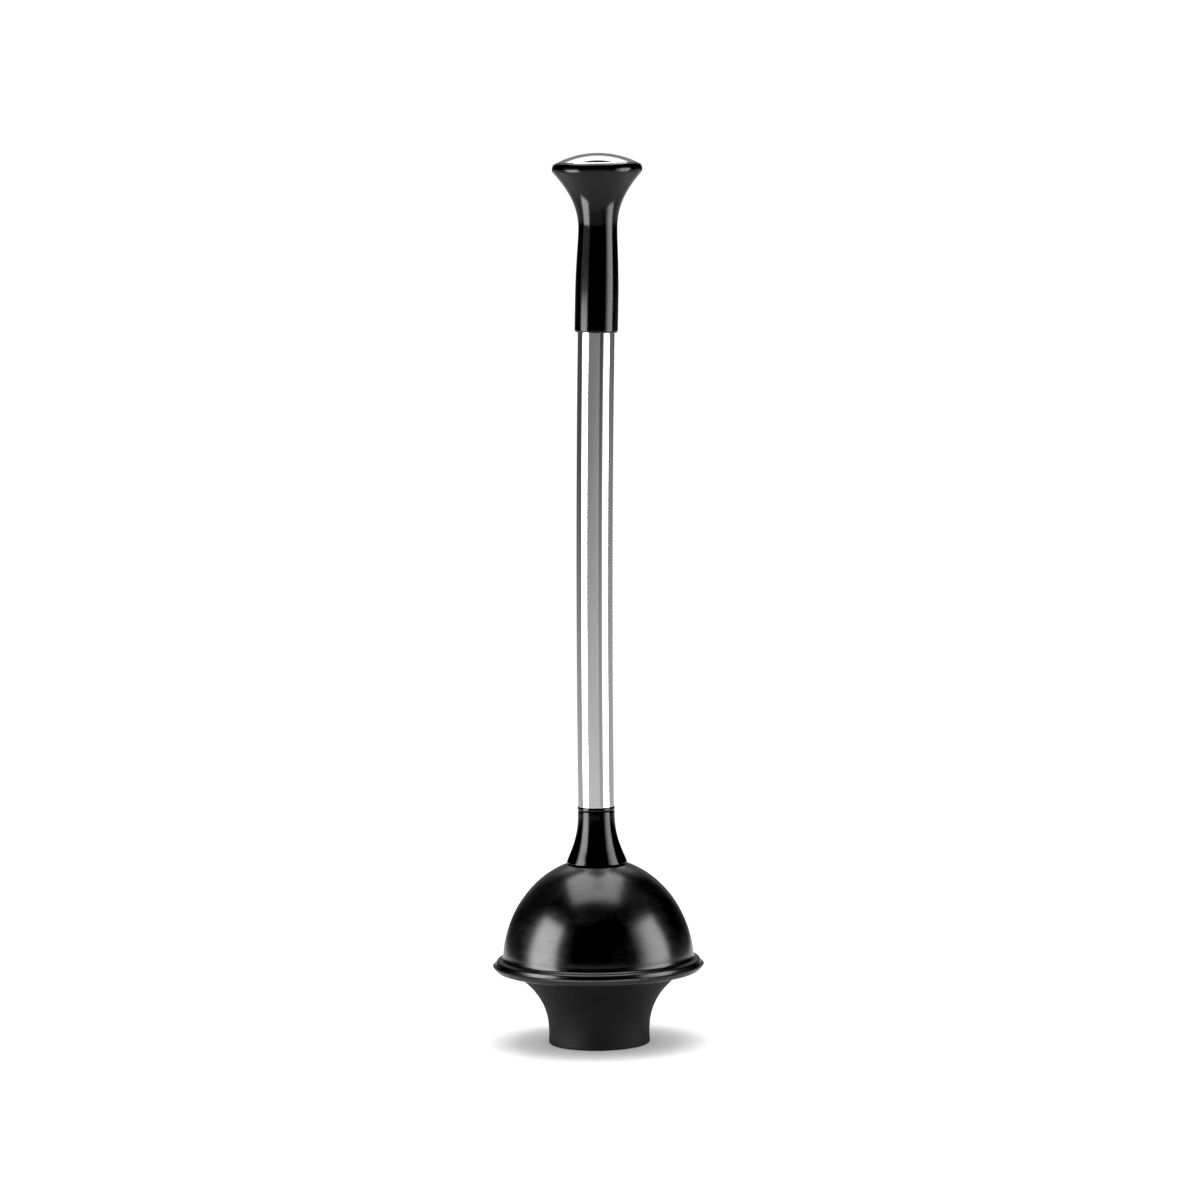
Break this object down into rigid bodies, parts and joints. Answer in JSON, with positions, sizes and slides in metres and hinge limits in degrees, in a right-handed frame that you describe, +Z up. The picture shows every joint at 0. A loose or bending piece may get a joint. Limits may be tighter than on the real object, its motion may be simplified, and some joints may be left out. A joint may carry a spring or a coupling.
{
  "type": "toilet plunger",
  "caption": "Free-standing toilet plunger: bowed steel tube handle with a flared grip, a collar, a squashing rubber bell and a drain flange that folds up inside the bell.",
  "frame": {"origin": "centre of the flange's mouth ring, on the floor it stands on", "axes": "+Z up along the bell's axis, +X the side the handle bows towards, +Y away from the front"},
  "size_m": [0.1358, 0.1358, 0.5699],
  "materials": {
    "steel_tube": "polished with a fine drawn grain",
    "steel_cap": "bright, fine spun grain",
    "black_gloss": "gloss",
    "inner_plastic": "matt",
    "zinc": "zinc plated",
    "nut_brass": "plain",
    "bell_rubber": "satin",
    "flange_rubber": "matt"
  },
  "bodies": {
    "handle": {"knob_cap": "steel_cap", "cap_carrier": "inner_plastic", "grip": "black_gloss", "grip_screw": "zinc", "grip_washer": "zinc", "top_plug": "inner_plastic", "tube": "steel_tube", "bottom_plug": "inner_plastic", "plug_nut": "nut_brass", "collar": "black_gloss", "cup_bolt": "zinc", "lock_washer": "zinc", "clamp_plate": "zinc"},
    "rubber_cup": {"bell": "bell_rubber"},
    "drain_flange": {"flange": "flange_rubber"}
  },
  "joints": [
    {"name": "cup_squash", "type": "slide", "parent": "handle", "child": "rubber_cup", "axis": [0, 0, 1], "range_m": [0, 0.022], "stiffness_N_per_m": 3000, "springref_m": -0.002, "deforming": ["bell"]},
    {"name": "flange_fold", "type": "slide", "parent": "rubber_cup", "child": "drain_flange", "axis": [0, 0, 1], "range_m": [0, 0.082], "deforming": ["flange"]}
  ]
}
